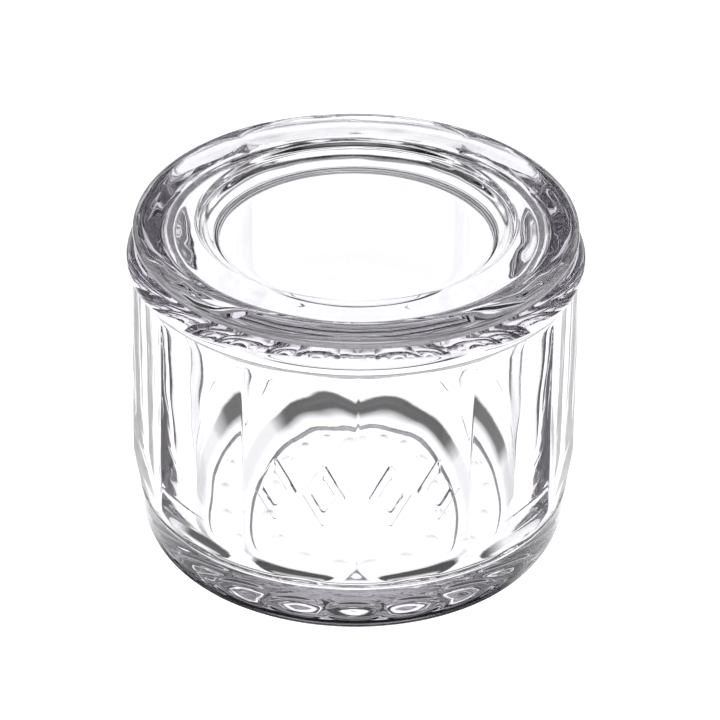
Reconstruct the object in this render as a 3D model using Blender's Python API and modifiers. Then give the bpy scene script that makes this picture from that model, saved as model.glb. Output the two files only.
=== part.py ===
"""Lidded glass salt cellar: a twelve-sided jar and the loose lid that plugs its mouth.

The jar stands on the plane z = 0 with its axis on the world Z axis. The corner between the two panels
that carry the lozenge frieze points to -Y. All dimensions are in metres.
"""
import math

import bmesh
import bpy

MM = 0.001

# Jar, outside
PANEL_COUNT = 12
PANEL_APOTHEM = 40.57 * MM
CORNER_RADIUS = 41.93 * MM
BEAD_OUTER_RADIUS = 43.0 * MM
BEAD_SECTION_RADIUS = 2.45 * MM
RIM_TOP_Z = 63.65 * MM
PANEL_TOP_Z = 58.95 * MM
CORNER_FOOT_Z = 17.2 * MM
HEEL_TOP_RADIUS = 40.5 * MM
HEEL_TOP_Z = 13.3 * MM
HEEL_RADIUS = 40.2 * MM
HEEL_ROUND = 8.4 * MM

# Jar, underside
BEARING_INNER_RADIUS = 27.6 * MM
PUSH_UP_RADIUS = 26.4 * MM
PUSH_UP_HEIGHT = 1.0 * MM
PRINT_COUNT = 14
PRINT_RING_RADIUS = 20.5 * MM
PRINT_RADIUS = 4.2 * MM
PRINT_DEPTH = 0.4 * MM
PRINT_SKIRT = 0.3 * MM

# Jar, inside
MOUTH_RADIUS = 35.9 * MM
MOUTH_ROUND = 1.0 * MM
CAVITY_FOOT_RADIUS = 33.6 * MM
CAVITY_ROUND = 7.0 * MM
FLOOR_Z = 8.0 * MM

# Frieze of raised lozenges, two on each front panel
LOZENGE_OFFSET = 4.6 * MM
LOZENGE_Z = 33.1 * MM
LOZENGE_HALF_WIDTH = 4.1 * MM
LOZENGE_HALF_HEIGHT = 6.9 * MM
LOZENGE_STROKE = 1.5 * MM
LOZENGE_RELIEF = 0.7 * MM
LOZENGE_ROOT = 0.8 * MM
LOZENGE_CORNER = 0.5 * MM

# Lid
SEAT_GAP = 0.3 * MM
LID_RADIUS = 41.75 * MM
LID_EDGE_ROUND = 2.62 * MM
LID_RING_INNER_RADIUS = 30.4 * MM
LID_RING_DROP = 0.7 * MM
RECESS_RADIUS = 28.6 * MM
RECESS_DEPTH = 2.6 * MM
RECESS_COVE = 0.65 * MM
PLUG_RADIUS = 35.1 * MM
PLUG_DEPTH = 3.3 * MM
PLUG_ROUND = 0.9 * MM
PLUG_HOLLOW_RADIUS = 26.8 * MM
PLUG_HOLLOW_DEPTH = 1.1 * MM

# Sleeve that planes the panels
SLEEVE_RADIUS = 56.0 * MM
SLEEVE_SPARE = 12.0 * MM
SLEEVE_STEPS = 48

TURNED_STEPS = 72
PRINT_STEPS = 24
SMALL_ARC_STEPS = 3
ARC_STEPS = 6
HEEL_ARC_STEPS = 8
EDGE_ARC_STEPS = 10
GLASS_ROUGHNESS = 0.03
MERGE_DISTANCE = 0.00001
GLASS_COLOUR = (0.93, 0.94, 0.96, 1.0)
GLASS_INDEX = 1.5
SMOOTH_ANGLE = math.radians(25.0)
LEVEL_TOLERANCE = 0.001 * MM


def clear_scene():
    for item in list(bpy.data.objects):
        bpy.data.objects.remove(item, do_unlink=True)


def new_collection(name):
    collection = bpy.data.collections.new(name)
    bpy.context.scene.collection.children.link(collection)
    return collection


def glass(name, roughness):
    material = bpy.data.materials.new(name)
    material.use_nodes = True
    shader = material.node_tree.nodes["Principled BSDF"]
    shader.inputs["Base Color"].default_value = GLASS_COLOUR
    shader.inputs["Roughness"].default_value = roughness
    shader.inputs["Metallic"].default_value = 0.0
    shader.inputs["IOR"].default_value = GLASS_INDEX
    shader.inputs["Transmission Weight"].default_value = 1.0
    return material


def arc(centre, radius, start, end, steps=ARC_STEPS):
    """Points (r, z) on an arc about centre, from the start angle to the end angle in degrees."""
    points = []
    for step in range(steps + 1):
        angle = math.radians(start + (end - start) * step / steps)
        points.append((centre[0] + radius * math.cos(angle), centre[1] + radius * math.sin(angle)))
    return points


def turned(name, profile, collection, steps=TURNED_STEPS):
    """A solid of revolution about Z from a profile of (r, z) points that starts and ends on the axis."""
    mesh = bpy.data.meshes.new(name)
    vertices = [(radius, 0.0, height) for radius, height in profile]
    edges = [(index, index + 1) for index in range(len(profile) - 1)]
    mesh.from_pydata(vertices, edges, [])
    item = bpy.data.objects.new(name, mesh)
    collection.objects.link(item)
    screw = item.modifiers.new("turn", "SCREW")
    screw.steps = steps
    screw.render_steps = steps
    screw.use_merge_vertices = True
    screw.merge_threshold = MERGE_DISTANCE
    return item


def cutter(item):
    item.hide_render = True
    item.display_type = "WIRE"


def boolean(item, other, operation):
    modifier = item.modifiers.new(operation.lower(), "BOOLEAN")
    modifier.operation = operation
    modifier.solver = "EXACT"
    modifier.object = other


def finish(item, material):
    """Freeze the modifiers into the mesh, shade it smooth up to the sharp edges and give it its glass."""
    depsgraph = bpy.context.evaluated_depsgraph_get()
    mesh = bpy.data.meshes.new_from_object(item.evaluated_get(depsgraph))
    mesh.name = item.name
    item.modifiers.clear()
    item.data = mesh
    mesh.shade_smooth()
    mesh.set_sharp_from_angle(angle=SMOOTH_ANGLE)
    mesh.materials.clear()
    mesh.materials.append(material)


def crisp_push_up(mesh):
    """Mark the edges of the flat push-up sharp, so that it shades flat between the thumbprints."""
    shape = bmesh.new()
    shape.from_mesh(mesh)
    for edge in shape.edges:
        level = 0
        for face in edge.link_faces:
            level += all(abs(corner.co.z - PUSH_UP_HEIGHT) < LEVEL_TOLERANCE for corner in face.verts)
        if level == 1:
            edge.smooth = False
    shape.to_mesh(mesh)
    shape.free()


def jar_profile():
    """The jar's section, from the middle of the cavity floor, over the rim and down to the underside."""
    wall_foot_z = FLOOR_Z + CAVITY_ROUND
    floor_centre = (CAVITY_FOOT_RADIUS - CAVITY_ROUND, wall_foot_z)
    mouth_centre = (MOUTH_RADIUS + MOUTH_ROUND, RIM_TOP_Z - MOUTH_ROUND)
    bead_centre = (BEAD_OUTER_RADIUS - BEAD_SECTION_RADIUS, RIM_TOP_Z - BEAD_SECTION_RADIUS)
    bead_foot = -math.degrees(math.acos((CORNER_RADIUS - bead_centre[0]) / BEAD_SECTION_RADIUS))
    heel_centre = (HEEL_RADIUS - HEEL_ROUND, HEEL_ROUND)
    profile = [(0.0, FLOOR_Z)]
    profile += arc(floor_centre, CAVITY_ROUND, -90.0, 0.0)
    profile += arc(mouth_centre, MOUTH_ROUND, 180.0, 90.0, SMALL_ARC_STEPS)
    profile += arc(bead_centre, BEAD_SECTION_RADIUS, 90.0, bead_foot, HEEL_ARC_STEPS)
    profile += [(CORNER_RADIUS, CORNER_FOOT_Z), (HEEL_TOP_RADIUS, HEEL_TOP_Z)]
    profile += arc(heel_centre, HEEL_ROUND, 0.0, -90.0, HEEL_ARC_STEPS)
    profile += [(BEARING_INNER_RADIUS, 0.0), (PUSH_UP_RADIUS, PUSH_UP_HEIGHT), (0.0, PUSH_UP_HEIGHT)]
    return profile


def lid_profile():
    """The lid's section, from the middle of its recessed top, round the edge and in to the plug."""
    seat_z = RIM_TOP_Z + SEAT_GAP
    top_z = seat_z + 2.0 * LID_EDGE_ROUND
    edge_centre = (LID_RADIUS - LID_EDGE_ROUND, seat_z + LID_EDGE_ROUND)
    plug_z = seat_z - PLUG_DEPTH
    plug_centre = (PLUG_RADIUS - PLUG_ROUND, plug_z + PLUG_ROUND)
    hollow_z = plug_z + PLUG_HOLLOW_DEPTH
    profile = [(0.0, top_z - RECESS_DEPTH), (RECESS_RADIUS - RECESS_DEPTH / 2, top_z - RECESS_DEPTH)]
    profile += [(RECESS_RADIUS, top_z - RECESS_DEPTH + RECESS_COVE)]
    profile += [(LID_RING_INNER_RADIUS, top_z - LID_RING_DROP)]
    profile += arc(edge_centre, LID_EDGE_ROUND, 90.0, -90.0, EDGE_ARC_STEPS)
    profile += [(PLUG_RADIUS, seat_z)]
    profile += arc(plug_centre, PLUG_ROUND, 0.0, -90.0, SMALL_ARC_STEPS)
    profile += [(PLUG_HOLLOW_RADIUS, plug_z)]
    profile += [(PLUG_HOLLOW_RADIUS - PLUG_HOLLOW_DEPTH, hollow_z), (0.0, hollow_z)]
    return profile


def panel_sleeve(collection):
    """A ring outside the jar with a twelve-sided bore, which planes the panels flat."""
    height = PANEL_TOP_Z - HEEL_TOP_Z / 2
    middle = (PANEL_TOP_Z + HEEL_TOP_Z / 2) / 2
    bpy.ops.mesh.primitive_cylinder_add(vertices=SLEEVE_STEPS, radius=SLEEVE_RADIUS, depth=height)
    sleeve = bpy.context.object
    sleeve.name = "panel_sleeve"
    sleeve.location.z = middle
    circumradius = PANEL_APOTHEM / math.cos(math.pi / PANEL_COUNT)
    bore_height = height + 2.0 * SLEEVE_SPARE
    bpy.ops.mesh.primitive_cylinder_add(vertices=PANEL_COUNT, radius=circumradius, depth=bore_height)
    bore = bpy.context.object
    bore.name = "panel_bore"
    bore.location.z = middle
    boolean(sleeve, bore, "DIFFERENCE")
    for item in (sleeve, bore):
        move_to(item, collection)
        cutter(item)
    return sleeve


def thumbprint(index, collection):
    """A low dome that presses one round print into the underside."""
    ball_radius = (PRINT_RADIUS**2 + PRINT_DEPTH**2) / (2.0 * PRINT_DEPTH)
    half_angle = math.degrees(math.asin(PRINT_RADIUS / ball_radius))
    profile = arc((0.0, PRINT_DEPTH - ball_radius), ball_radius, 90.0, 90.0 - half_angle, SMALL_ARC_STEPS)
    profile[0] = (0.0, PRINT_DEPTH)
    profile += [(PRINT_RADIUS, -PRINT_SKIRT), (0.0, -PRINT_SKIRT)]
    item = turned(f"thumbprint_{index}", profile, collection, PRINT_STEPS)
    angle = index * 2.0 * math.pi / PRINT_COUNT
    across = PRINT_RING_RADIUS * math.sin(angle)
    back = -PRINT_RING_RADIUS * math.cos(angle)
    item.location = (across, back, PUSH_UP_HEIGHT)
    cutter(item)


def move_to(item, collection):
    for owner in list(item.users_collection):
        owner.objects.unlink(item)
    collection.objects.link(item)


def lozenge_prism(name, half_width, half_height, depth, collection):
    """A lozenge standing on its point, thick along its local Y, with its long corners rounded."""
    bpy.ops.mesh.primitive_cylinder_add(vertices=4, radius=1.0, depth=1.0)
    item = bpy.context.object
    item.name = name
    item.scale = (half_width, half_height, depth)
    item.rotation_euler = (math.radians(90.0), 0.0, 0.0)
    bpy.ops.object.transform_apply(location=False, rotation=True, scale=True)
    rounding = item.modifiers.new("round", "BEVEL")
    rounding.width = LOZENGE_CORNER
    rounding.segments = 2
    rounding.limit_method = "WEIGHT"
    weights = item.data.attributes.new("bevel_weight_edge", "FLOAT", "EDGE")
    for edge in item.data.edges:
        start, end = (item.data.vertices[index].co for index in edge.vertices)
        along_thickness = abs(start.y - end.y) > depth / 2
        weights.data[edge.index].value = 1.0 if along_thickness else 0.0
    move_to(item, collection)
    cutter(item)
    return item


def lozenge_frame(index, panel, side, collection):
    """One raised lozenge outline, set on its panel and rooted a little way into the glass."""
    angle = (panel + 0.5) * 2.0 * math.pi / PANEL_COUNT
    depth = LOZENGE_RELIEF + LOZENGE_ROOT
    out = PANEL_APOTHEM + (LOZENGE_RELIEF - LOZENGE_ROOT) / 2
    offset = side * LOZENGE_OFFSET
    place = (
        out * math.sin(angle) + offset * math.cos(angle),
        -out * math.cos(angle) + offset * math.sin(angle),
        LOZENGE_Z,
    )
    name = f"lozenge_{index}"
    outer = lozenge_prism(name, LOZENGE_HALF_WIDTH, LOZENGE_HALF_HEIGHT, depth, collection)
    slope = math.hypot(LOZENGE_HALF_WIDTH, LOZENGE_HALF_HEIGHT)
    inner_width = LOZENGE_HALF_WIDTH - LOZENGE_STROKE * slope / LOZENGE_HALF_HEIGHT
    inner_height = LOZENGE_HALF_HEIGHT - LOZENGE_STROKE * slope / LOZENGE_HALF_WIDTH
    inner = lozenge_prism(f"{name}_window", inner_width, inner_height, depth * 2, collection)
    for item in (outer, inner):
        item.location = place
        item.rotation_euler.z = angle
    boolean(outer, inner, "DIFFERENCE")
    return outer


def make_jar(parts, cutters, prints):
    jar = turned("jar", jar_profile(), parts)
    boolean(jar, panel_sleeve(cutters), "DIFFERENCE")
    for index in range(PRINT_COUNT):
        thumbprint(index, prints)
    pressing = jar.modifiers.new("thumbprints", "BOOLEAN")
    pressing.operation = "DIFFERENCE"
    pressing.solver = "EXACT"
    pressing.operand_type = "COLLECTION"
    pressing.collection = prints
    places = [(panel, side) for panel in (-1, 0) for side in (-1, 1)]
    for index, (panel, side) in enumerate(places):
        boolean(jar, lozenge_frame(index, panel, side, cutters), "UNION")
    bpy.context.view_layer.update()
    finish(jar, glass("jar_glass", GLASS_ROUGHNESS))
    crisp_push_up(jar.data)


def make_lid(parts):
    lid = turned("lid", lid_profile(), parts)
    bpy.context.view_layer.update()
    finish(lid, glass("lid_glass", GLASS_ROUGHNESS))


def main():
    clear_scene()
    parts = new_collection("salt_cellar")
    cutters = new_collection("cutters")
    make_jar(parts, cutters, new_collection("print_cutters"))
    make_lid(parts)


main()
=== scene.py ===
"""Looks of the lidded glass salt cellar: fine pressed-glass meshes for the jar and the lid, their glass,
a pale floor, a soft studio and the camera. Lengths in the shape functions are millimetres."""
import math

import bpy
import numpy as np
from mathutils import Matrix, Vector


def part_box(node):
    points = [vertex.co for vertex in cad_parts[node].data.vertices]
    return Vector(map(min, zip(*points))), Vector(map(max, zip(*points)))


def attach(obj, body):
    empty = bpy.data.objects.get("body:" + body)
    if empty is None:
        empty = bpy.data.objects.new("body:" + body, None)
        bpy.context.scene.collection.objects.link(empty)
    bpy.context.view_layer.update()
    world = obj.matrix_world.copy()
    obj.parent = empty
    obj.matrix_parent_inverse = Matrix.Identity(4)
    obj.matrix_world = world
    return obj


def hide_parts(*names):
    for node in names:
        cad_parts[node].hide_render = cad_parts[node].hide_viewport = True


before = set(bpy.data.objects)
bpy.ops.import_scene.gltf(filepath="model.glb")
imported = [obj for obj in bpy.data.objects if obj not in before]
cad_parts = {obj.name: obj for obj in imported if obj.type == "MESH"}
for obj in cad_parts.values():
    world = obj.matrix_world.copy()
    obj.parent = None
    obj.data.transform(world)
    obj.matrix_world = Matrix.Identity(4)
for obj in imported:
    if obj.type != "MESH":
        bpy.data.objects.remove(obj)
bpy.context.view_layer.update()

MM = 0.001
TAU = 2.0 * math.pi
JAR_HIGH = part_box("jar")[1]
LID_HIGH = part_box("lid")[1]

# Jar, outside (mm; the corner zone of fine columns in degrees)
PANELS = 12
PANEL_APOTHEM = 40.57
PANEL_EDGE_ROUND = 1.2
PANEL_CORNER_ZONE = 1.5
BEAD_RADIUS = JAR_HIGH.x / MM
BEAD_SECTION = 2.45
RIM_TOP = JAR_HIGH.z / MM
CORNER_FOOT = 17.2
CORNER_STAND = 1.43
HEEL_TOP_RADIUS = 40.5
HEEL_TOP = 13.3
HEEL_STEP = 0.8
HEEL_RADIUS = 40.2
HEEL_ROUND = 8.4
BEARING_INNER = 27.6
PUSH_UP_RADIUS = 26.4
PUSH_UP = 1.0

# Jar, inside (mm)
MOUTH_RADIUS = 35.9
MOUTH_ROUND = 1.0
CAVITY_FOOT_RADIUS = 33.6
CAVITY_ROUND = 7.0
FLOOR = 8.0

# Raised lozenges on the two front panels (mm)
LOZENGE_OFFSET = 4.6
LOZENGE_Z = 33.1
LOZENGE_HALF_WIDTH = 4.1
LOZENGE_HALF_HEIGHT = 6.9
LOZENGE_STROKE = 1.5
LOZENGE_RELIEF = 0.7
LOZENGE_ROOT = 0.8
LOZENGE_CORNER = 0.5
LOZENGE_CHAMFER = 0.12
ARRIS_ANGLE = math.radians(28.0)

# Seam of the mould at the top of the heel, and the round thumbprints under the foot (mm)
SEAM_RELIEF = 0.3
SEAM_WIDTH = 0.38
SEAM_ROOM = 1.0
SEAM_INNER = HEEL_RADIUS - 1.0
PRINT_COUNT = 14
PRINT_RADIUS = 4.2
PRINT_DEPTH = 0.4
PRINT_RING = 20.5
PRINT_FALL = 1.2
PRINT_REACH = 14.0
UNDERSIDE_TOP = 2.0

# Lid (mm)
LID_RADIUS = LID_HIGH.x / MM
LID_EDGE = 2.62
SEAT = LID_HIGH.z / MM - 2.0 * LID_EDGE
RING_INNER = 30.4
RING_DROP = 0.7
RECESS_RADIUS = 28.6
RECESS_DEPTH = 2.6
PLUG_RADIUS = 35.1
PLUG_DEPTH = 3.3
PLUG_ROUND = 0.9
HOLLOW_RADIUS = 26.8
HOLLOW_DEPTH = 1.1

# Slow waves of the pressed glass: height (mm), turns around the axis, pitch along the section (mm), phase
JAR_WAVES = (
    (0.030, 5.0, 41.0, 0.4),
    (0.022, -9.0, 23.0, 2.1),
    (0.014, 17.0, 15.0, 4.4),
    (0.010, -26.0, 11.0, 1.3),
)
LID_WAVES = (
    (0.060, 6.0, 29.0, 1.9),
    (0.045, -11.0, 17.0, 0.3),
    (0.030, 19.0, 12.0, 3.7),
    (0.016, -31.0, 8.0, 5.2),
)

# Where those waves are calmer: the two ends of each change (mm, or radians from the front) and what is left
JAR_AXIS_CALM = (2.0, 10.0)
JAR_HEEL_CALM, JAR_HEEL_LEFT = (9.0, 18.0), 0.2
JAR_BEAD_CALM, JAR_BEAD_LEFT = (55.0, 59.0), 0.3
LID_UNDER_CALM = (29.0, 34.0)
LID_TOP_CALM, LID_TOP_LEFT = (30.0, 34.0), 0.25
LID_FRONT_CALM, LID_FRONT_LEFT = (0.35, 1.0), 0.35
LID_UNDER_TOP = 1.5
RIM_SPARE = 0.02
PLUG_SPARE = 0.2
SEAT_SPARE = 0.05

# Columns of the meshes: at a corner of the jar, on the flat of a panel, and around the lid
CORNER_COLUMNS = 12
FLAT_COLUMNS = 27
LID_COLUMNS = 480

# Glass: its colours, the fine ripple of its pressed skin and the faint haze where the polish is thinner
GLASS_COLOUR = (0.976, 0.973, 0.985, 1.0)
GLASS_INDEX = 1.5
BODY_COLOUR = (0.55, 0.50, 0.62, 1.0)
BODY_DENSITY = 6.0
SKIN_SCALE = 260.0
SKIN_DETAIL = 3.0
SKIN_STRENGTH = 0.25
SKIN_HEIGHT = 0.02 * MM
HAZE_SCALE = 90.0
HAZE_DETAIL = 4.0
HAZE_RANGE = (0.45, 0.8)
HAZE_ROUGHNESS = 0.015

# Studio. The sky's bands are (sine of the elevation, brightness), once for the back and once for the sides.
BACK_BANDS = [(0.0, 0.65), (0.12, 0.65), (0.16, 0.01), (0.62, 0.01), (0.72, 0.68), (1.0, 0.68)]
SIDE_BANDS = [(0.0, 0.65), (0.12, 0.65), (0.16, 0.01), (0.92, 0.01), (0.95, 0.8), (1.0, 0.8)]
BACK_START, BACK_FULL = 0.45, 0.75

# The floor's glow, by distance from the axis as a fraction of the reach (m)
FLOOR_LEVEL = 1.35
FLOOR_HALF = 4.0
FLOOR_DROP = 0.0002
FLOOR_REACH = 0.5
FLOOR_BANDS = [(0.30, FLOOR_LEVEL), (0.36, 0.14), (0.46, 0.14), (0.58, 0.65), (1.0, 0.65)]
UNLIT = (0.02, 0.02, 0.02, 1.0)
UNLIT_ROUGHNESS = 0.9

# The contact shade (m): strong under the front and the back of the heel, weak at its sides
SHADE_INNER = 0.0270
SHADE_OUTER = 0.0445
SHADE_DROP = 0.0001
SHADE_STEPS = 192
SHADE_DIRECTION = (0.2, 0.98, 0.0)
SHADE_STRENGTH = [(0.0, 1.0), (0.26, 1.0), (0.36, 0.25), (0.80, 0.25), (0.88, 1.0), (1.0, 1.0)]
SHADE_BANDS = [(0.2, FLOOR_LEVEL), (0.36, 0.5), (0.46, 0.02), (0.86, 0.02), (0.95, FLOOR_LEVEL)]

# Camera (degrees and metres); the view is as wide as this at the aim
CAMERA_ELEVATION = 31.0
CAMERA_AZIMUTH = -1.07
CAMERA_ROLL = 0.72
CAMERA_DISTANCE = 1.1
CAMERA_AIM = (0.0, 0.0, 0.035)
CAMERA_RIGHT = 0.0010
CAMERA_UP = 0.0024
SENSOR_WIDTH = 36.0
VIEW_WIDTH = 0.1363636


def arc(centre, radius, start, end, count):
    """Points (r, z) along an arc, from the start angle to the end angle in degrees."""
    angle = np.radians(np.linspace(start, end, count))
    return np.stack([centre[0] + radius * np.cos(angle), centre[1] + radius * np.sin(angle)], axis=1)


def line(start, end, count):
    """Points (r, z) along a straight line."""
    t = np.linspace(0.0, 1.0, count)[:, None]
    return np.array(start) * (1.0 - t) + np.array(end) * t


def step_up(start, end, count):
    """Points (r, z) along an S-curve, steepest half way."""
    t = np.linspace(0.0, 1.0, count)
    rise = eased(eased(t, 0.0, 1.0), 0.0, 1.0)
    return np.stack([start[0] + (end[0] - start[0]) * t, start[1] + (end[1] - start[1]) * rise], axis=1)


def softened(profile, rounds):
    """Rounds the corners of a profile a little, keeping its two ends on the axis."""
    for _ in range(rounds):
        middle = (profile[:-2] + 2.0 * profile[1:-1] + profile[2:]) / 4.0
        profile = np.concatenate([profile[:1], middle, profile[-1:]])
    return profile


def joined(*stretches):
    """One profile from stretches that start where the one before ends."""
    points = [stretches[0]]
    for stretch in stretches[1:]:
        points.append(stretch[1:])
    return np.concatenate(points)


def panel_radius(angle):
    """Radius of the twelve-sided section with rounded corners, for an angle from the front corner."""
    step = TAU / PANELS
    from_corner = np.abs((angle + step / 2) % step - step / 2)
    from_middle = step / 2 - from_corner
    flat = PANEL_APOTHEM / np.cos(from_middle)
    centre = (PANEL_APOTHEM - PANEL_EDGE_ROUND) / math.cos(step / 2)
    inside = np.maximum(PANEL_EDGE_ROUND ** 2 - (centre * np.sin(from_corner)) ** 2, 0.0)
    rounded = centre * np.cos(from_corner) + np.sqrt(inside)
    tangent = math.atan((PANEL_APOTHEM - PANEL_EDGE_ROUND) * math.tan(step / 2) / PANEL_APOTHEM)
    return np.where(from_middle > tangent, rounded, flat)


def jar_section(corner_radius):
    """The jar's section where the panels stand corner_radius from the axis."""
    wall_foot = FLOOR + CAVITY_ROUND
    bead_centre = (BEAD_RADIUS - BEAD_SECTION, RIM_TOP - BEAD_SECTION)
    reach = min(max((corner_radius - bead_centre[0]) / BEAD_SECTION, -1.0), 1.0)
    bead_foot = -math.degrees(math.acos(reach))
    bead_foot_z = bead_centre[1] + BEAD_SECTION * math.sin(math.radians(bead_foot))
    trim = (CORNER_FOOT - HEEL_TOP) * max(corner_radius - HEEL_TOP_RADIUS, 0.0) / CORNER_STAND
    seam_top = HEEL_TOP + SEAM_ROOM
    heel_centre = (HEEL_RADIUS - HEEL_ROUND, HEEL_ROUND)
    lean = (corner_radius - HEEL_TOP_RADIUS) * min(1.0 / max(trim, 1.0), 1.0)
    return joined(
        line((0.0, FLOOR), (CAVITY_FOOT_RADIUS - CAVITY_ROUND, FLOOR), 9),
        arc((CAVITY_FOOT_RADIUS - CAVITY_ROUND, wall_foot), CAVITY_ROUND, -90.0, 0.0, 13),
        line((CAVITY_FOOT_RADIUS, wall_foot), (MOUTH_RADIUS, RIM_TOP - MOUTH_ROUND), 10),
        arc((MOUTH_RADIUS + MOUTH_ROUND, RIM_TOP - MOUTH_ROUND), MOUTH_ROUND, 180.0, 90.0, 6),
        line((MOUTH_RADIUS + MOUTH_ROUND, RIM_TOP), (bead_centre[0], RIM_TOP), 4),
        arc(bead_centre, BEAD_SECTION, 90.0, bead_foot, 16),
        line((corner_radius, bead_foot_z), (corner_radius, max(HEEL_TOP + trim, seam_top)), 34),
        line((corner_radius, max(HEEL_TOP + trim, seam_top)), (HEEL_TOP_RADIUS + lean, seam_top), 4),
        line((HEEL_TOP_RADIUS + lean, seam_top), (HEEL_TOP_RADIUS, HEEL_TOP), 6),
        line((HEEL_TOP_RADIUS, HEEL_TOP), (HEEL_TOP_RADIUS, HEEL_TOP - HEEL_STEP), 5),
        line((HEEL_TOP_RADIUS, HEEL_TOP - HEEL_STEP), (HEEL_RADIUS, HEEL_ROUND), 4),
        arc(heel_centre, HEEL_ROUND, 0.0, -90.0, 14),
        line((heel_centre[0], 0.0), (BEARING_INNER, 0.0), 8),
        line((BEARING_INNER, 0.0), (PUSH_UP_RADIUS, PUSH_UP), 4),
        line((PUSH_UP_RADIUS, PUSH_UP), (PRINT_REACH, PUSH_UP), 20),
        line((PRINT_REACH, PUSH_UP), (0.0, PUSH_UP), 5),
    )


def lid_section():
    """The lid's section, from the middle of its top to the middle of its underside."""
    top = SEAT + 2.0 * LID_EDGE
    recess = top - RECESS_DEPTH
    edge_centre = (LID_RADIUS - LID_EDGE, SEAT + LID_EDGE)
    plug = SEAT - PLUG_DEPTH
    hollow = plug + HOLLOW_DEPTH
    foot = (RECESS_RADIUS - RECESS_DEPTH / 2, recess)
    shoulder = (RECESS_RADIUS, recess + RECESS_DEPTH / 4)
    crest = (RING_INNER, top - RING_DROP)
    return joined(
        line((0.0, recess), foot, 20),
        line(foot, shoulder, 6),
        step_up(shoulder, crest, 14),
        line(crest, (edge_centre[0], top), 14),
        arc(edge_centre, LID_EDGE, 90.0, -90.0, 28),
        line((edge_centre[0], SEAT), (PLUG_RADIUS, SEAT), 8),
        line((PLUG_RADIUS, SEAT), (PLUG_RADIUS, plug + PLUG_ROUND), 8),
        arc((PLUG_RADIUS - PLUG_ROUND, plug + PLUG_ROUND), PLUG_ROUND, 0.0, -90.0, 6),
        line((PLUG_RADIUS - PLUG_ROUND, plug), (HOLLOW_RADIUS, plug), 10),
        line((HOLLOW_RADIUS, plug), (HOLLOW_RADIUS - HOLLOW_DEPTH, hollow), 5),
        line((HOLLOW_RADIUS - HOLLOW_DEPTH, hollow), (0.0, hollow), 18),
    )


def eased(value, start, end):
    """0 below start, 1 above end, smooth between."""
    t = np.clip((value - start) / (end - start), 0.0, 1.0)
    return t * t * (3.0 - 2.0 * t)


def changing(value, ends, before, after):
    """From before to after, smooth between the two ends."""
    return before + (after - before) * eased(value, *ends)


def swell(angles, along, waves):
    """Slow unevenness of pressed glass: a sum of long waves around the axis and along the section."""
    total = np.zeros_like(along)
    for height, turns, pitch, phase in waves:
        total += height * np.sin(turns * angles[:, None] + TAU * along / pitch + phase)
    return total


def raised(sections, amount):
    """Moves every point of the sections outward, square to its section, by amount."""
    tangent = np.gradient(sections, axis=1)
    tangent /= np.maximum(np.linalg.norm(tangent, axis=2, keepdims=True), 1e-9)
    outward = np.stack([-tangent[:, :, 1], tangent[:, :, 0]], axis=2)
    outward[:, 0] = outward[:, -1] = 0.0
    return sections + outward * amount[:, :, None]


def panel_angles():
    """Columns of the jar's mesh, closer together at every corner."""
    step = math.degrees(TAU / PANELS)
    corner = np.linspace(-PANEL_CORNER_ZONE, PANEL_CORNER_ZONE, CORNER_COLUMNS, endpoint=False)
    flat = np.linspace(PANEL_CORNER_ZONE, step - PANEL_CORNER_ZONE, FLAT_COLUMNS, endpoint=False)
    angles = [panel * step + np.concatenate([corner, flat]) for panel in range(PANELS)]
    return np.radians(np.sort(np.concatenate(angles) % 360.0))


def lozenge_outline(inset, corner_radius):
    """Rounded lozenge in the plane of its panel, drawn in from the outer edge of the frame by inset."""
    slope = math.hypot(LOZENGE_HALF_WIDTH, LOZENGE_HALF_HEIGHT)
    depth = inset + corner_radius
    half_width = LOZENGE_HALF_WIDTH - depth * slope / LOZENGE_HALF_HEIGHT
    half_height = LOZENGE_HALF_HEIGHT - depth * slope / LOZENGE_HALF_WIDTH
    lean = math.degrees(math.atan2(LOZENGE_HALF_WIDTH, LOZENGE_HALF_HEIGHT))
    corners = (
        ((half_width, 0.0), -lean, lean),
        ((0.0, half_height), lean, 180.0 - lean),
        ((-half_width, 0.0), 180.0 - lean, 180.0 + lean),
        ((0.0, -half_height), 180.0 + lean, 360.0 - lean),
    )
    return np.concatenate([arc(centre, corner_radius, start, end, 6) for centre, start, end in corners])


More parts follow.
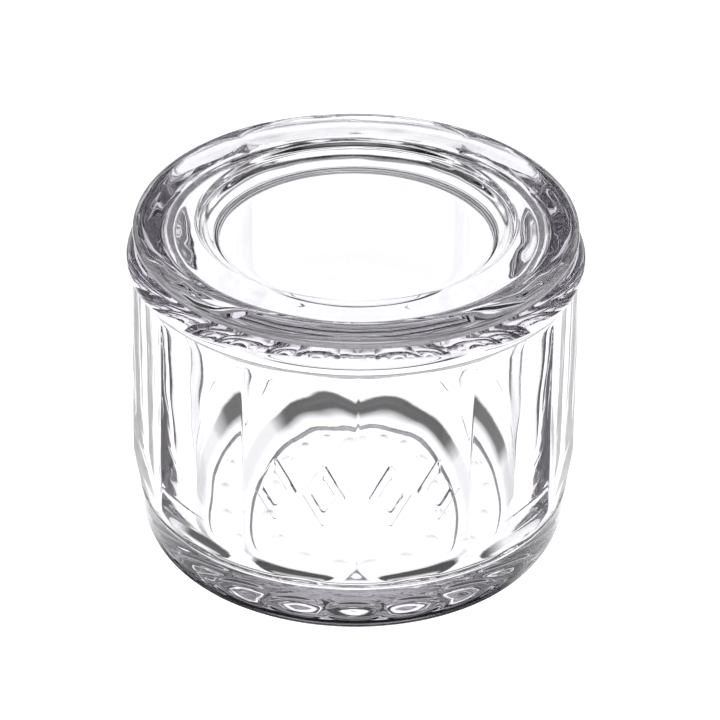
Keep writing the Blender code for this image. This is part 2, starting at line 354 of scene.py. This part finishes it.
def frieze_frames():
    """The four raised lozenge outlines as one mesh, each rooted in the wall of its front panel."""
    loops = (
        (0.0, LOZENGE_CORNER, -LOZENGE_ROOT),
        (0.0, LOZENGE_CORNER, LOZENGE_RELIEF - LOZENGE_CHAMFER),
        (LOZENGE_CHAMFER, LOZENGE_CORNER - LOZENGE_CHAMFER, LOZENGE_RELIEF),
        (LOZENGE_STROKE - LOZENGE_CHAMFER, LOZENGE_CORNER, LOZENGE_RELIEF),
        (LOZENGE_STROKE, LOZENGE_CORNER, LOZENGE_RELIEF - LOZENGE_CHAMFER),
        (LOZENGE_STROKE, LOZENGE_CORNER, -LOZENGE_ROOT),
    )
    outlines = [lozenge_outline(inset, corner_radius) for inset, corner_radius, _ in loops]
    points = len(outlines[0])
    vertices, faces = [], []
    for panel in (-0.5, 0.5):
        turn = panel * TAU / PANELS
        along = np.array([math.cos(turn), math.sin(turn), 0.0])
        out = np.array([math.sin(turn), -math.cos(turn), 0.0])
        for side in (-1, 1):
            start = len(vertices)
            for outline, (_, _, height) in zip(outlines, loops):
                across = outline[:, 0] + side * LOZENGE_OFFSET
                place = across[:, None] * along + (PANEL_APOTHEM + height) * out
                place[:, 2] += LOZENGE_Z + outline[:, 1]
                vertices += (place * MM).tolist()
            for ring in range(len(loops)):
                here = start + ring * points
                beyond = start + (ring + 1) % len(loops) * points
                for point in range(points):
                    following = (point + 1) % points
                    faces.append((here + point, here + following, beyond + following, beyond + point))
    mesh = bpy.data.meshes.new("frieze")
    mesh.from_pydata(vertices, [], faces)
    frames = bpy.data.objects.new("frieze", mesh)
    bpy.context.scene.collection.objects.link(frames)
    return frames


def fused(item, frames):
    """Joins the frames to the item as one body of glass and shades the result smooth up to its arrises."""
    union = item.modifiers.new("frieze", "BOOLEAN")
    union.operation = "UNION"
    union.solver = "EXACT"
    union.object = frames
    bpy.context.view_layer.update()
    body = bpy.data.meshes.new_from_object(item.evaluated_get(bpy.context.evaluated_depsgraph_get()))
    item.modifiers.clear()
    item.data = body
    body.shade_smooth()
    body.set_sharp_from_angle(angle=ARRIS_ANGLE)
    bpy.data.objects.remove(frames, do_unlink=True)


def seam_relief(sections):
    """Height of the fine seam left by the mould around the top of the heel."""
    radius, z = sections[:, :, 0], sections[:, :, 1]
    ridge = np.exp(-(((z - HEEL_TOP) / SEAM_WIDTH) ** 2))
    return np.where(radius > SEAM_INNER, SEAM_RELIEF * ridge, 0.0)


def print_relief(angles, sections):
    """Height of the ring of shallow round thumbprints pressed into the underside, as a negative number."""
    radius, z = sections[:, :, 0], sections[:, :, 1]
    pitch = TAU / PRINT_COUNT
    around = (angles[:, None] + pitch / 2) % pitch - pitch / 2
    distance = np.sqrt(radius ** 2 + PRINT_RING ** 2 - 2.0 * radius * PRINT_RING * np.cos(around))
    bowl = np.clip(1.0 - (distance / PRINT_RADIUS) ** 2, 0.0, 1.0) ** PRINT_FALL
    return np.where(z < UNDERSIDE_TOP, -PRINT_DEPTH * bowl, 0.0)


def along_section(sections):
    """Length along each section from its start, in millimetres."""
    step = np.linalg.norm(np.diff(sections, axis=1), axis=2)
    return np.concatenate([np.zeros((len(sections), 1)), np.cumsum(step, axis=1)], axis=1)


def turned_object(name, angles, sections):
    """A closed mesh from one section per angle; each section starts and ends on the axis."""
    count, length = sections.shape[:2]
    radius = sections[:, 1:-1, 0]
    ring = np.stack(
        [
            radius * np.sin(angles)[:, None],
            -radius * np.cos(angles)[:, None],
            sections[:, 1:-1, 1],
        ],
        axis=2,
    ).reshape(-1, 3)
    poles = np.array([(0.0, 0.0, sections[0, 0, 1]), (0.0, 0.0, sections[0, -1, 1])])
    vertices = np.concatenate([ring, poles]) * MM
    rows = length - 2
    column = np.arange(count)
    following = (column + 1) % count
    row = np.arange(rows - 1)
    here = column[:, None] * rows + row
    beside = following[:, None] * rows + row
    quads = np.stack([here, here + 1, beside + 1, beside], axis=2).reshape(-1, 4)
    start, end = count * rows, count * rows + 1
    first = np.stack([np.full(count, start), column * rows, following * rows], axis=1)
    last = np.stack([np.full(count, end), following * rows + rows - 1, column * rows + rows - 1], axis=1)
    mesh = bpy.data.meshes.new(name)
    mesh.from_pydata(vertices.tolist(), [], quads.tolist() + first.tolist() + last.tolist())
    mesh.shade_smooth()
    item = bpy.data.objects.new(name, mesh)
    bpy.context.scene.collection.objects.link(item)
    return item


def glass(name):
    """Clear pressed glass, a little violet in its thick parts."""
    material = bpy.data.materials.new(name)
    material.use_nodes = True
    nodes, links = material.node_tree.nodes, material.node_tree.links
    shader = nodes["Principled BSDF"]
    shader.inputs["Base Color"].default_value = GLASS_COLOUR
    shader.inputs["IOR"].default_value = GLASS_INDEX
    shader.inputs["Transmission Weight"].default_value = 1.0
    place = nodes.new("ShaderNodeTexCoord")
    skin = nodes.new("ShaderNodeTexNoise")
    skin.inputs["Scale"].default_value = SKIN_SCALE
    skin.inputs["Detail"].default_value = SKIN_DETAIL
    pressed = nodes.new("ShaderNodeBump")
    pressed.inputs["Strength"].default_value = SKIN_STRENGTH
    pressed.inputs["Distance"].default_value = SKIN_HEIGHT
    haze = nodes.new("ShaderNodeTexNoise")
    haze.inputs["Scale"].default_value = HAZE_SCALE
    haze.inputs["Detail"].default_value = HAZE_DETAIL
    polish = nodes.new("ShaderNodeMapRange")
    polish.inputs["From Min"].default_value = HAZE_RANGE[0]
    polish.inputs["From Max"].default_value = HAZE_RANGE[1]
    polish.inputs["To Max"].default_value = HAZE_ROUGHNESS
    links.new(place.outputs["Object"], skin.inputs["Vector"])
    links.new(place.outputs["Object"], haze.inputs["Vector"])
    links.new(skin.outputs["Fac"], pressed.inputs["Height"])
    links.new(haze.outputs["Fac"], polish.inputs["Value"])
    links.new(pressed.outputs["Normal"], shader.inputs["Normal"])
    links.new(polish.outputs["Result"], shader.inputs["Roughness"])
    body = nodes.new("ShaderNodeVolumeAbsorption")
    body.inputs["Color"].default_value = BODY_COLOUR
    body.inputs["Density"].default_value = BODY_DENSITY
    links.new(body.outputs["Volume"], nodes["Material Output"].inputs["Volume"])
    return material


def make_jar():
    """The jar: its waves are calmer on the heel and the bead, and fade out in the middle of its floor."""
    angles = panel_angles()
    sections = np.stack([softened(jar_section(radius), 1) for radius in panel_radius(angles)])
    along = along_section(sections)
    calm = changing(sections[:, :, 1], JAR_HEEL_CALM, JAR_HEEL_LEFT, 1.0)
    calm *= changing(sections[:, :, 0], JAR_AXIS_CALM, 0.0, 1.0)
    calm *= changing(sections[:, :, 1], JAR_BEAD_CALM, 1.0, JAR_BEAD_LEFT)
    amount = seam_relief(sections) + print_relief(angles, sections)
    sections = raised(sections, amount + calm * swell(angles, along, JAR_WAVES))
    sections[:, :, 1] = np.maximum(sections[:, :, 1], 0.0)
    sections[:, :, 1] = np.minimum(sections[:, :, 1], RIM_TOP + RIM_SPARE)
    jar = turned_object("pressed_glass_jar", angles, sections)
    fused(jar, frieze_frames())
    jar.data.materials.append(glass("jar_pressed_glass"))
    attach(jar, "jar")
    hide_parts("jar")


def make_lid():
    """The lid, with its waves on the edge and the plug, calmer on the top and towards the front."""
    angles = np.linspace(0.0, TAU, LID_COLUMNS, endpoint=False)
    section = softened(lid_section(), 2)
    sections = np.repeat(section[None], len(angles), axis=0)
    along = along_section(sections)
    under = changing(sections[:, :, 0], LID_UNDER_CALM, 0.0, 1.0)
    top = changing(sections[:, :, 0], LID_TOP_CALM, 0.0, LID_TOP_LEFT)
    calm = np.where(sections[:, :, 1] < SEAT + LID_UNDER_TOP, under, top)
    from_front = np.minimum(angles, TAU - angles)[:, None]
    calm = calm * changing(from_front, LID_FRONT_CALM, LID_FRONT_LEFT, 1.0)
    sections = raised(sections, calm * swell(angles, along, LID_WAVES))
    plug = sections[:, :, 0] < PLUG_RADIUS + PLUG_SPARE
    sections[:, :, 1] = np.where(plug, sections[:, :, 1], np.maximum(sections[:, :, 1], SEAT - SEAT_SPARE))
    lid = turned_object("pressed_glass_lid", angles, sections)
    lid.data.materials.append(glass("lid_pressed_glass"))
    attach(lid, "lid")
    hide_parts("lid")


def band_ramp(nodes, bands):
    """A grey ramp; each band is (position, level)."""
    ramp = nodes.new("ShaderNodeValToRGB")
    stops = ramp.color_ramp.elements
    while len(stops) < len(bands):
        stops.new(0.5)
    for stop, (height, level) in zip(stops, bands):
        stop.position = height
        stop.color = (level, level, level, 1.0)
    return ramp


def make_floor():
    """A white sweep lit from within, so that it carries no shadow. The camera sees it plain; its dimmer
    rings only show through and in the glass."""
    mesh = bpy.data.meshes.new("floor")
    reach = FLOOR_HALF
    mesh.from_pydata(
        [(-reach, -reach, 0.0), (reach, -reach, 0.0), (reach, reach, 0.0), (-reach, reach, 0.0)],
        [],
        [(0, 1, 2, 3)],
    )
    floor = bpy.data.objects.new("floor", mesh)
    bpy.context.scene.collection.objects.link(floor)
    floor.location.z = -FLOOR_DROP
    material = bpy.data.materials.new("floor_white")
    material.use_nodes = True
    shader = material.node_tree.nodes["Principled BSDF"]
    shader.inputs["Base Color"].default_value = UNLIT
    shader.inputs["Roughness"].default_value = UNLIT_ROUGHNESS
    shader.inputs["Emission Color"].default_value = (1.0, 1.0, 1.0, 1.0)
    nodes, links = material.node_tree.nodes, material.node_tree.links
    place = nodes.new("ShaderNodeTexCoord")
    distance = nodes.new("ShaderNodeVectorMath")
    distance.operation = "LENGTH"
    across = nodes.new("ShaderNodeMapRange")
    across.inputs["From Max"].default_value = FLOOR_REACH
    bands = band_ramp(nodes, FLOOR_BANDS)
    path = nodes.new("ShaderNodeLightPath")
    seen = nodes.new("ShaderNodeMixRGB")
    seen.inputs["Color2"].default_value = (FLOOR_LEVEL, FLOOR_LEVEL, FLOOR_LEVEL, 1.0)
    links.new(place.outputs["Object"], distance.inputs[0])
    links.new(distance.outputs["Value"], across.inputs["Value"])
    links.new(across.outputs["Result"], bands.inputs["Fac"])
    links.new(path.outputs["Is Camera Ray"], seen.inputs["Fac"])
    links.new(bands.outputs["Color"], seen.inputs["Color1"])
    links.new(seen.outputs["Color"], shader.inputs["Emission Strength"])
    mesh.materials.append(material)


def make_contact_shade():
    """The shade under the heel: a flat ring that the camera can't see and that only shows in the glass."""
    turn = np.linspace(0.0, TAU, SHADE_STEPS, endpoint=False)
    rim = np.stack([np.cos(turn), np.sin(turn), np.zeros_like(turn)], axis=1)
    corners = np.concatenate([rim * SHADE_INNER, rim * SHADE_OUTER])
    count = len(turn)
    faces = [(i, count + i, count + (i + 1) % count, (i + 1) % count) for i in range(count)]
    mesh = bpy.data.meshes.new("contact_shade")
    mesh.from_pydata(corners.tolist(), [], faces)
    ring = bpy.data.objects.new("contact_shade", mesh)
    bpy.context.scene.collection.objects.link(ring)
    ring.location.z = -SHADE_DROP
    ring.visible_camera = False
    material = bpy.data.materials.new("shade_grey")
    material.use_nodes = True
    nodes, links = material.node_tree.nodes, material.node_tree.links
    shader = nodes["Principled BSDF"]
    shader.inputs["Base Color"].default_value = UNLIT
    shader.inputs["Roughness"].default_value = UNLIT_ROUGHNESS
    shader.inputs["Emission Color"].default_value = (1.0, 1.0, 1.0, 1.0)
    place = nodes.new("ShaderNodeTexCoord")
    direction = nodes.new("ShaderNodeVectorMath")
    direction.operation = "NORMALIZE"
    facing = nodes.new("ShaderNodeVectorMath")
    facing.operation = "DOT_PRODUCT"
    facing.inputs[1].default_value = SHADE_DIRECTION
    turned = nodes.new("ShaderNodeMapRange")
    turned.inputs["From Min"].default_value = -1.0
    strength = band_ramp(nodes, SHADE_STRENGTH)
    mixed = nodes.new("ShaderNodeMixRGB")
    mixed.inputs["Color1"].default_value = (FLOOR_LEVEL, FLOOR_LEVEL, FLOOR_LEVEL, 1.0)
    distance = nodes.new("ShaderNodeVectorMath")
    distance.operation = "LENGTH"
    across = nodes.new("ShaderNodeMapRange")
    across.inputs["From Min"].default_value = SHADE_INNER
    across.inputs["From Max"].default_value = SHADE_OUTER
    shade = band_ramp(nodes, SHADE_BANDS)
    links.new(place.outputs["Object"], distance.inputs[0])
    links.new(distance.outputs["Value"], across.inputs["Value"])
    links.new(across.outputs["Result"], shade.inputs["Fac"])
    links.new(place.outputs["Object"], direction.inputs[0])
    links.new(direction.outputs["Vector"], facing.inputs[0])
    links.new(facing.outputs["Value"], turned.inputs["Value"])
    links.new(turned.outputs["Result"], strength.inputs["Fac"])
    links.new(strength.outputs["Color"], mixed.inputs["Fac"])
    links.new(shade.outputs["Color"], mixed.inputs["Color2"])
    links.new(mixed.outputs["Color"], shader.inputs["Emission Strength"])
    mesh.materials.append(material)


def make_studio():
    """A white horizon, dark above it and bright overhead, for what the glass mirrors and bends. The camera
    sees it plain white, like the floor."""
    world = bpy.data.worlds.new("studio")
    bpy.context.scene.world = world
    world.use_nodes = True
    nodes, links = world.node_tree.nodes, world.node_tree.links
    nodes.clear()
    place = nodes.new("ShaderNodeTexCoord")
    split = nodes.new("ShaderNodeSeparateXYZ")
    links.new(place.outputs["Generated"], split.inputs[0])
    back = band_ramp(nodes, BACK_BANDS)
    side = band_ramp(nodes, SIDE_BANDS)
    towards_back = nodes.new("ShaderNodeMapRange")
    towards_back.interpolation_type = "SMOOTHSTEP"
    towards_back.inputs["From Min"].default_value = BACK_START
    towards_back.inputs["From Max"].default_value = BACK_FULL
    links.new(split.outputs["Y"], towards_back.inputs["Value"])
    bands = nodes.new("ShaderNodeMixRGB")
    links.new(towards_back.outputs["Result"], bands.inputs["Fac"])
    links.new(side.outputs["Color"], bands.inputs["Color1"])
    links.new(back.outputs["Color"], bands.inputs["Color2"])
    for ramp in (back, side):
        links.new(split.outputs["Z"], ramp.inputs["Fac"])
    light = nodes.new("ShaderNodeBackground")
    links.new(bands.outputs["Color"], light.inputs["Color"])
    plain = nodes.new("ShaderNodeBackground")
    plain.inputs["Color"].default_value = (1.0, 1.0, 1.0, 1.0)
    path = nodes.new("ShaderNodeLightPath")
    mix = nodes.new("ShaderNodeMixShader")
    links.new(path.outputs["Is Camera Ray"], mix.inputs["Fac"])
    links.new(light.outputs[0], mix.inputs[1])
    links.new(plain.outputs[0], mix.inputs[2])
    output = nodes.new("ShaderNodeOutputWorld")
    links.new(mix.outputs[0], output.inputs["Surface"])
    scene = bpy.context.scene
    scene.view_settings.view_transform = "Standard"
    scene.cycles.max_bounces = 32
    scene.cycles.transmission_bounces = 32
    scene.cycles.glossy_bounces = 16


def make_camera():
    """The camera looks down at the middle of the jar, a little to the left of the front corner."""
    elevation, azimuth = math.radians(CAMERA_ELEVATION), math.radians(CAMERA_AZIMUTH)
    back = Vector((math.sin(azimuth) * math.cos(elevation), -math.cos(azimuth) * math.cos(elevation),
                   math.sin(elevation)))
    right = Vector((math.cos(azimuth), math.sin(azimuth), 0.0))
    up = back.cross(right)
    aim = Vector(CAMERA_AIM) + right * CAMERA_RIGHT + up * CAMERA_UP
    camera = bpy.data.cameras.new("camera")
    camera.sensor_width = SENSOR_WIDTH
    camera.lens = SENSOR_WIDTH * CAMERA_DISTANCE / VIEW_WIDTH
    camera.clip_start, camera.clip_end = 0.05, 20.0
    item = bpy.data.objects.new("camera", camera)
    bpy.context.scene.collection.objects.link(item)
    turn = Matrix((right, up, back)).transposed() @ Matrix.Rotation(math.radians(CAMERA_ROLL), 3, "Z")
    item.matrix_world = Matrix.Translation(aim + back * CAMERA_DISTANCE) @ turn.to_4x4()
    bpy.context.scene.camera = item


make_jar()
make_lid()
make_floor()
make_contact_shade()
make_studio()
make_camera()
